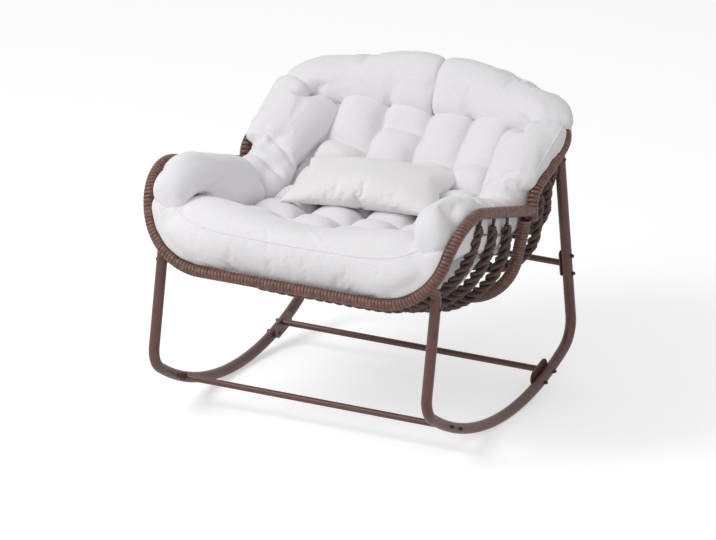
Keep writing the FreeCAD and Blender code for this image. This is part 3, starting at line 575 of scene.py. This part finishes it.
def stuffed(name, mesh, pressure, cap, pins=None, frames=20):
    """The skin blown up by its stuffing, with no point moved further than the cap."""
    holder = bpy.data.objects.new(name + "_swell", mesh)
    scene.collection.objects.link(holder)
    cloth = holder.modifiers.new("stuffing", "CLOTH")
    settings = cloth.settings
    settings.quality = 4
    settings.mass = 0.15
    settings.tension_stiffness = 12
    settings.compression_stiffness = 12
    settings.shear_stiffness = 6
    settings.bending_stiffness = 0.4
    settings.use_pressure = True
    settings.uniform_pressure_force = pressure
    settings.effector_weights.gravity = 0
    cloth.point_cache.frame_end = frames
    if pins:
        group = holder.vertex_groups.new(name="sewn")
        group.add(pins, 1.0, "REPLACE")
        settings.vertex_group_mass = "sewn"
    for number in range(1, frames + 1):
        scene.frame_set(number)
    swollen = bpy.data.meshes.new_from_object(holder.evaluated_get(bpy.context.evaluated_depsgraph_get()))
    for rest, moved in zip(mesh.vertices, swollen.vertices):
        shift = moved.co - rest.co
        if shift.length > cap:
            moved.co = rest.co + shift * (cap / shift.length)
    bpy.data.objects.remove(holder)
    scene.frame_set(1)
    return swollen


def cover(node, mesh, finish, body):
    """A stuffed skin in place of its solid, smoothed by one subdivision."""
    piece = show(node + "_cover", mesh, finish, body)
    smooth = piece.modifiers.new("soft", "SUBSURF")
    smooth.levels = 1
    smooth.render_levels = 1
    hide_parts(node)


def twin_panel(shape):
    """A second panel on the first, facing the other way; returns its points."""
    twin = bmesh.ops.duplicate(shape, geom=shape.verts[:] + shape.edges[:] + shape.faces[:])["geom"]
    bmesh.ops.reverse_faces(shape, faces=[f for f in twin if isinstance(f, bmesh.types.BMFace)])
    return [v for v in twin if isinstance(v, bmesh.types.BMVert)]


def close_rim(shape, spacing):
    """Joins two panels along their edges, with even cuts up the wall between them."""
    rim = [e for e in shape.edges if e.is_boundary]
    walls = bmesh.ops.bridge_loops(shape, edges=rim)["edges"]
    tall = max(e.calc_length() for e in walls)
    cuts = int(tall / spacing)
    if cuts:
        bmesh.ops.subdivide_edges(shape, edges=walls, cuts=cuts, use_grid_fill=True)
    bmesh.ops.recalc_face_normals(shape, faces=shape.faces)
    shape.verts.index_update()


PAD_ROWS = [
    # crown and underside of the centre pad at each cross seam, from the roll to the head
    (spot(0, -300, 610), spot(0, -300, 421)),
    (spot(0, -180, 588), spot(0, -180, 388)),
    (spot(0, -60, 578), spot(0, -60, 356)),
    (spot(0, 60, 588), spot(0, 71, 387)),
    (spot(0, 160, 622), spot(0, 204, 410)),
    (spot(0, 254, 675), spot(0, 312, 487)),
    (spot(0, 404, 790), spot(0, 445, 697)),
]
PAD_SEAT_ROWS = 3
PAD_HALF_WIDTHS = (345 * MM, 310 * MM)
PAD_BORDER = 28 * MM
PAD_ROW = 118 * MM
COLUMN_SHIFTS = (0.0, 0.5, 0.0, 0.0)
PUFF = 52 * MM
COLUMN_POWER = 2.2
ROW_POWER = 1.7
SEAM_DEPTH = 38 * MM
ROW_SHARE = 0.86
ROW_SEAM = 3 * MM
TUFT_DEPTH = 10 * MM
TUFT_SPREAD = 17 * MM
ROW_LENGTH = 112 * MM
ROW_PULL = 0.75
SEWN_PULL = 0.7
BOWL = 46 * MM
BOWL_SHARES = (0.35, 0.65)
BOWL_POWER = 1.8
UNDERSIDE_FLAT = 0.48
UNDERSIDE_RISE = (0.19, 0.45)
PAD_MESH = 6 * MM


def smooth_at(values, share):
    """A smooth line through the values, at a share counted in rows."""
    i = min(int(share), len(values) - 2)
    t = share - i
    a, b = values[max(i - 1, 0)], values[i]
    c, d = values[i + 1], values[min(i + 2, len(values) - 1)]
    square, cube = a * 2 - b * 5 + c * 4 - d, b * 3 - a - c * 3 + d
    return (b * 2 + (c - a) * t + square * t ** 2 + cube * t ** 3) * 0.5


def swelling(share, power):
    """Height of a puff across its width, from one seam to the next."""
    return math.sqrt(max(0.0, 1 - abs(2 * share - 1) ** power))


def pad_points(x_share, row):
    """The pad's top and underside at a share of its half width and a row, and the pull of the tufts."""
    crown = smooth_at([r[0] for r in PAD_ROWS], row)
    floor = smooth_at([r[1] for r in PAD_ROWS], row)
    up = (crown - floor).normalized()
    back = row / (len(PAD_ROWS) - 1)
    wide = PAD_HALF_WIDTHS[0] + (PAD_HALF_WIDTHS[1] - PAD_HALF_WIDTHS[0]) * back
    x = x_share * wide
    tufted = wide - PAD_BORDER
    columns = len(COLUMN_SHIFTS)
    column = (x / tufted + 1) * columns / 2
    level = BOWL * (BOWL_SHARES[0] + BOWL_SHARES[1] * back) * abs(x_share) ** BOWL_POWER - SEAM_DEPTH
    pull = 0.0
    if 0 < column < columns:
        number = min(int(column), columns - 1)
        share = (row + COLUMN_SHIFTS[number]) % 1
        row_height = 1 - ROW_SHARE + ROW_SHARE * swelling(share, ROW_POWER)
        level += PUFF * swelling(column - number, COLUMN_POWER) * row_height
        if min(share, 1 - share) * ROW_LENGTH < ROW_SEAM:
            pull = ROW_PULL
        for seam in (number, number + 1):
            across = (column - seam) * 2 * tufted / columns
            for shift in {COLUMN_SHIFTS[max(seam - 1, 0)], COLUMN_SHIFTS[min(seam, columns - 1)]}:
                along = ((row + shift + 0.5) % 1 - 0.5) * ROW_LENGTH
                pull = max(pull, math.exp(-(across ** 2 + along ** 2) / TUFT_SPREAD ** 2))
    top = crown + up * (level - TUFT_DEPTH * pull) + Vector((x, 0, 0))
    most = min(UNDERSIDE_RISE[0] * wide, UNDERSIDE_RISE[1] * (crown - floor).length)
    rise = max(0.0, (abs(x_share) - UNDERSIDE_FLAT) / (1 - UNDERSIDE_FLAT)) ** 2 * most
    return top, floor + up * rise + Vector((x, 0, 0)), pull


def pad_skin(first, last):
    """A stretch of the tufted pad, and the points where it is sewn through."""
    shape = bmesh.new()
    sewn = shape.verts.layers.float.new("sewn")
    columns = round(2 * PAD_HALF_WIDTHS[0] / PAD_MESH)
    rows = round((last - first) * PAD_ROW / PAD_MESH)
    bmesh.ops.create_grid(shape, x_segments=columns, y_segments=rows, size=1.0)
    upper = shape.verts[:]
    lower = twin_panel(shape)
    for side, verts in ((0, upper), (1, lower)):
        for vert in verts:
            places = pad_points(vert.co.x, first + (vert.co.y + 1) / 2 * (last - first))
            vert[sewn] = float(side or places[2] > SEWN_PULL)
            vert.co = places[side]
    close_rim(shape, 2 * PAD_MESH)
    pins = [v.index for v in shape.verts if v[sewn] > 0.99]
    mesh = bpy.data.meshes.new("pad_skin")
    shape.to_mesh(mesh)
    shape.free()
    return mesh, pins


FOLD_SEWN = 0.75
FOLD_DEEP = 9 * MM


def pinched(mesh, folds):
    """Draws a skin in along folds; returns the points sewn down there."""
    pins = []
    normals = [vertex.normal.copy() for vertex in mesh.vertices]
    for vertex, normal in zip(mesh.vertices, normals):
        shift = Vector()
        for place, across, facing, depth, width, reach in folds:
            off = vertex.co - place
            shown = max(0.0, normal.dot(facing))
            pull = math.exp(-(off.dot(across) / width) ** 2 - (off.length / reach) ** 2) * shown
            shift -= normal * (depth * pull)
            if pull > FOLD_SEWN and depth > FOLD_DEEP:
                pins.append(vertex.index)
        vertex.co += shift
    return pins


def other_side(folds):
    """The same folds on the left of the chair."""
    return [tuple(on_side(v, -1) for v in fold[:3]) + fold[3:] for fold in folds]


WING_FACING = Vector((-0.45, -0.2, 0.87))
CHAMBER_FOLDS = {
    # right-hand chambers: a point, the directions across the fold and out of it, depth, width and reach
    "wing": [
        (spot(370, 115, 655), Vector((-0.25, 0.95, 0.2)), WING_FACING, 15 * MM, 10 * MM, 160 * MM),
        (spot(392, 48, 640), Vector((-0.15, 0.97, 0.2)), WING_FACING, 15 * MM, 10 * MM, 160 * MM),
    ],
    "head": [
        (spot(135, 400, 772), Vector((1, 0, 0.12)), Vector((0, -0.9, -0.43)), 16 * MM, 17 * MM, 62 * MM),
    ],
}


BALL_GAP = 14 * MM


def balls_through(stations, sign):
    """Balls strung through stations, each a place and a radius in millimetres, on one side of the chair."""
    balls = []
    for (a, r), (b, t) in zip(stations, stations[1:]):
        count = max(1, round((b - a).length / BALL_GAP))
        balls += [(a.lerp(b, i / count), (r + (t - r) * i / count) * MM) for i in range(count + 1)]
    return [(on_side(place, sign), radius) for place, radius in balls]


def rows_beside(route, rows, wanted):
    """Rows of balls beside a route: how far inward and up, and their radius, in millimetres."""
    return [
        (place, radius * MM)
        for inward, up, radius in rows
        for place in beside(route, inward * MM, up * MM, wanted)[::2]
    ]


# Rows of balls beside the tubes, then strings of balls through the right-hand chambers
OVER_ARCH = [(22, 34, 30), (48, 34, 36), (78, 26, 40)]
OVER_RAIL = [(40, 4, 30)]
WING_FOOT = [(spot(398, 84, 628), 60), (spot(404, 44, 622), 60), (spot(408, 6, 618), 58)]
WING_HEM = [(spot(345, 110, 622), 48), (spot(345, 70, 598), 50), (spot(348, 10, 584), 50)]
WING_TOP = [
    (spot(395, 130, 655), 52),
    (spot(376, 250, 708), 50),
    (spot(388, 318, 752), 46),
    (spot(346, 336, 752), 42),
]
ARM_CREST = [
    (spot(428, -388, 724), 48),
    (spot(432, -335, 732), 48),
    (spot(434, -290, 731), 48),
    (spot(434, -231, 710), 48),
    (spot(428, -100, 668), 44),
    (spot(424, -10, 642), 42),
]
ARM_HEM = [(spot(376, -300, 606), 50), (spot(372, -160, 592), 52), (spot(370, -50, 586), 50)]
ROLL_END = [
    (spot(452, -416, 640), 44),
    (spot(436, -426, 590), 44),
    (spot(410, -434, 552), 42),
    (spot(360, -440, 528), 43),
    (spot(300, -436, 517), 45),
    (spot(220, -434, 516), 42),
]
ROLL_SHOULDER = [(spot(415, -395, 628), 62), (spot(385, -402, 590), 64), (spot(330, -405, 570), 62)]
# Stretches along the tubes, in millimetres of Y, and of X for the gap between the heads
WING_START = 124
CORNER = 335
HEAD_GAP = 30
ARM_FRONT = -345
ARM_END = 20
FILLINGS = {"cushion_front_roll": []}
for side, sign in (("right", 1), ("left", -1)):
    # balls that carry the chambers of this side out over the tubes that they lie on
    over_arch = rows_beside(arch_route, OVER_ARCH, lambda p: p.x * sign > 0 and WING_START < p.y < CORNER)
    wing_ends = [ball for line in (WING_FOOT, WING_HEM, WING_TOP) for ball in balls_through(line, sign)]
    FILLINGS[f"cushion_{side}_wing"] = over_arch + wing_ends
    FILLINGS[f"cushion_{side}_head"] = rows_beside(
        arch_route, OVER_ARCH, lambda p: p.x * sign > HEAD_GAP and p.y > CORNER
    )
    over_rail = rows_beside(rail_route, OVER_RAIL, lambda p: p.x * sign > 0 and ARM_FRONT < p.y < ARM_END)
    arm_strings = balls_through(ARM_CREST, sign) + balls_through(ARM_HEM, sign)
    FILLINGS[f"cushion_{side}_arm"] = over_rail + arm_strings
    FILLINGS["cushion_front_roll"] += balls_through(ROLL_END, sign) + balls_through(ROLL_SHOULDER, sign)
TUBE_ROOM = 18.5 * MM
HEAD_LEAN = (20 * MM, 36 * MM)
HEAD_FOOT = 760
HEAD_HEIGHT = 150
ARM_NOSE = spot(0, -330, 650)
NOSE_LENGTH = 40 * MM
NOSE_LIFT = 0.6
ARM_TAIL = -40 * MM
TAIL_KEPT = 0.35


def leant_back(mesh):
    """Leans a head chamber back over the arch, its top more than its foot."""
    for vertex in mesh.vertices:
        height = min(1.0, max(0.0, (vertex.co.z / MM - HEAD_FOOT) / HEAD_HEIGHT))
        vertex.co.y += HEAD_LEAN[0] + HEAD_LEAN[1] * height


def drawn_up(mesh):
    """Lifts the nose of an arm off the roll, and draws its tail in to the wing."""
    for vertex in mesh.vertices:
        place = vertex.co
        if place.y < ARM_NOSE.y and place.z < ARM_NOSE.z:
            share = min(1.0, (ARM_NOSE.y - place.y) / NOSE_LENGTH)
            place.z += (ARM_NOSE.z - place.z) * NOSE_LIFT * share
        if place.y > ARM_TAIL:
            place.y = ARM_TAIL + (place.y - ARM_TAIL) * TAIL_KEPT


PILLOW_SIZE = (505 * MM, 312 * MM)
PILLOW_GRID = (90, 56)
PANEL_GAP = 4 * MM
PILLOW_RIM = 8 * MM
PILLOW_FRAMES = 40
PILLOW_THICKNESS = 108 * MM
LEAST_HEIGHT = 20 * MM
END_DROOP = 18 * MM
PILLOW_TURN = math.radians(10)
PILLOW_SLOPE = math.radians(8)
# Pressure of the stuffing, and how far it may move a point
CHAMBER_STUFFING = (4.0, 20 * MM)
PAD_STUFFING = (2.0, 10 * MM)
PILLOW_STUFFING = (9.0, 1.0)


def pillow_skin():
    """Two flat panels sewn at their edges, blown up, then laid where the pillow lies."""
    shape = bmesh.new()
    bmesh.ops.create_grid(shape, x_segments=PILLOW_GRID[0], y_segments=PILLOW_GRID[1], size=0.5)
    bmesh.ops.scale(shape, vec=(*PILLOW_SIZE, 1), verts=shape.verts)
    bmesh.ops.translate(shape, vec=(0, 0, -PANEL_GAP), verts=twin_panel(shape))
    close_rim(shape, PILLOW_RIM)
    mesh = bpy.data.meshes.new("pillow_skin")
    shape.to_mesh(mesh)
    shape.free()
    mesh = stuffed("pillow", mesh, *PILLOW_STUFFING, frames=PILLOW_FRAMES)
    for vertex in mesh.vertices:
        vertex.co.z -= END_DROOP * (2 * vertex.co.x / PILLOW_SIZE[0]) ** 2
    heights = [v.co.z for v in mesh.vertices]
    flatten = (PILLOW_THICKNESS + END_DROOP / 2) / max(max(heights) - min(heights), LEAST_HEIGHT)
    low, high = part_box("lumbar_pillow")
    lie = Matrix.Rotation(PILLOW_TURN, 4, "Z") @ Matrix.Rotation(PILLOW_SLOPE, 4, "X")
    mesh.transform(Matrix.Translation((low + high) / 2) @ lie @ Matrix.Diagonal((1, 1, flatten, 1)))
    return mesh


skins = {}
for node in sorted(nodes):
    if not node.startswith("cushion") or node.endswith("_pad"):
        continue
    skin = filled_out(node, FILLINGS[node])
    kind = node.rsplit("_", 1)[1]
    if kind == "head":
        leant_back(skin)
    if kind == "arm":
        drawn_up(skin)
    folds = CHAMBER_FOLDS.get(kind, [])
    pins = pinched(skin, other_side(folds) if "_left_" in node else folds)
    skins[node] = stuffed(node, skin, *CHAMBER_STUFFING, pins)
    kept_off(skins[node], rail_route, TUBE_ROOM)
    kept_off(skins[node], arch_route, TUBE_ROOM)
    cover(node, skins[node], cover_white, "cushion")
for node, first, last in (
    ("cushion_seat_pad", 0, PAD_SEAT_ROWS),
    ("cushion_back_pad", PAD_SEAT_ROWS, len(PAD_ROWS) - 1),
):
    skin, pins = pad_skin(first, last)
    skin = stuffed(node, skin, *PAD_STUFFING, pins)
    cover(node, skin, cover_white, "cushion")
cover("lumbar_pillow", pillow_skin(), pillow_white, "pillow")


# Piping: a thin covered cord sewn into the seams

def curve_through(points, count):
    """Points of a smooth line through a few places."""
    last = len(points) - 1
    return [smooth_at(points, last * i / (count - 1)) for i in range(count)]


SEAM_RAY = 0.4


def seam_line(mesh, inner, outward, count):
    """Where rays from a line of inner places, all in one direction, leave the skin."""
    tree = BVHTree.FromPolygons([v.co for v in mesh.vertices], [p.vertices for p in mesh.polygons])
    line = []
    for place in curve_through(inner, count):
        hit = tree.ray_cast(place + outward * SEAM_RAY, -outward, SEAM_RAY)[0]
        if hit:
            line.append(hit)
    return line


CORD = 2.4 * MM
SEAM_POINTS = 60
ROLL_SEAM_POINTS = 120
ROLL_SEAM_FACING = Vector((0, -0.97, 0.24))
SEAMS = {
    # right-hand chamber: inner line and the direction in which the seam faces
    "head": (
        [spot(8, 455, 836), spot(160, 450, 832), spot(290, 425, 804), spot(400, 370, 782)],
        Vector((0, 0.64, 0.77)),
    ),
    "wing": (
        [spot(418, 150, 655), spot(415, 200, 678), spot(412, 270, 711), spot(410, 335, 744)],
        Vector((0.6, 0, 0.8)),
    ),
}
for chamber, (inner, outward) in SEAMS.items():
    for side, sign in (("right", 1), ("left", -1)):
        name = f"{side}_{chamber}_piping"
        skin = skins[f"cushion_{side}_{chamber}"]
        places = [on_side(p, sign) for p in inner]
        line = seam_line(skin, places, on_side(outward, sign), SEAM_POINTS)
        show(name, strand_mesh(name, [line], CORD), cover_white, "cushion")
half_seam = [spot(420, -380, 650), spot(300, -392, 602), spot(0, -395, 592)]
roll_seam = half_seam[:-1] + [on_side(p, -1) for p in half_seam[::-1]]
line = seam_line(skins["cushion_front_roll"], roll_seam, ROLL_SEAM_FACING, ROLL_SEAM_POINTS)
piping = strand_mesh("front_roll_piping", [line], CORD)
show("front_roll_piping", piping, cover_white, "cushion")


# Studio

CAMERA_PLACE = Vector((9.229, -17.064, 7.206))
CAMERA_TARGET = Vector((0.0, -0.0654, 0.4111))
LENS = 352.0
SENSOR = 36.0
FAR_CLIP = 200.0


def add_camera():
    """A long lens at the photograph's viewing angle."""
    data = bpy.data.cameras.new("camera")
    data.lens = LENS
    data.sensor_width = SENSOR
    data.clip_end = FAR_CLIP
    camera = bpy.data.objects.new("camera", data)
    scene.collection.objects.link(camera)
    turn = (CAMERA_TARGET - CAMERA_PLACE).to_track_quat("-Z", "Y").to_matrix().to_4x4()
    camera.matrix_world = Matrix.Translation(CAMERA_PLACE) @ turn
    scene.camera = camera


def add_lamp(name, place, target, size, power):
    """A round soft box turned to a place."""
    data = bpy.data.lights.new(name, "AREA")
    data.shape = "DISK"
    data.size = size
    data.energy = power
    lamp = bpy.data.objects.new(name, data)
    scene.collection.objects.link(lamp)
    turn = (target - place).to_track_quat("-Z", "Y").to_matrix().to_4x4()
    lamp.matrix_world = Matrix.Translation(place) @ turn


def seen_ray(tree):
    """1 for rays that show the background: from the camera, a reflection or through glass."""
    path = add_node(tree, "ShaderNodeLightPath")
    first = add_node(
        tree,
        "ShaderNodeMath",
        {"operation": "MAXIMUM"},
        {0: path.outputs["Is Camera Ray"], 1: path.outputs["Is Glossy Ray"]},
    )
    both = add_node(
        tree,
        "ShaderNodeMath",
        {"operation": "MAXIMUM"},
        {0: first.outputs[0], 1: path.outputs["Is Transmission Ray"]},
    )
    return both.outputs[0]


FLOOR_SIZE = 40
FLOOR_GLOW = 0.46
ROOM_LIGHT = 0.52


def add_floor():
    """A wide pale floor that keeps the shadow."""
    shape = bmesh.new()
    bmesh.ops.create_grid(shape, x_segments=1, y_segments=1, size=FLOOR_SIZE)
    mesh = bpy.data.meshes.new("floor")
    shape.to_mesh(mesh)
    shape.free()
    floor = bpy.data.objects.new("floor", mesh)
    scene.collection.objects.link(floor)
    material, tree, _ = new_finish("white_studio_floor")
    lit = add_node(tree, "ShaderNodeBsdfDiffuse", None, {"Color": linear("#E6E6E6")})
    glow = add_node(
        tree, "ShaderNodeMath", {"operation": "MULTIPLY"}, {0: seen_ray(tree), 1: FLOOR_GLOW}
    )
    shine = add_node(tree, "ShaderNodeEmission", None, {"Strength": glow.outputs[0]})
    both = add_node(tree, "ShaderNodeAddShader", None, {0: lit.outputs[0], 1: shine.outputs[0]})
    add_node(tree, "ShaderNodeOutputMaterial", None, {"Surface": both.outputs[0]})
    mesh.materials.append(material)


def add_room():
    """Even white light all round, seen as plain white."""
    world = bpy.data.worlds.new("studio")
    scene.world = world
    world.use_nodes = True
    tree = world.node_tree
    tree.nodes.clear()
    level = add_node(
        tree, "ShaderNodeMapRange", None, {"Value": seen_ray(tree), "To Min": ROOM_LIGHT, "To Max": 1.0}
    )
    back = add_node(
        tree, "ShaderNodeBackground", None, {"Color": linear("#FFFFFF"), "Strength": level.outputs["Result"]}
    )
    add_node(tree, "ShaderNodeOutputWorld", None, {"Surface": back.outputs[0]})


LAMP_TARGET = Vector((0, 0, 0.5))
# Each lamp's place, its width in metres and its power in watts
LAMPS = {
    "key": (Vector((-2.4, -2.6, 3.6)), 2.2, 100),
    "fill": (Vector((3.2, -3.0, 2.4)), 2.6, 24),
}
add_camera()
add_floor()
add_room()
for lamp_name, (place, width, power) in LAMPS.items():
    add_lamp(lamp_name, place, LAMP_TARGET, width, power)
scene.view_settings.view_transform = "Standard"
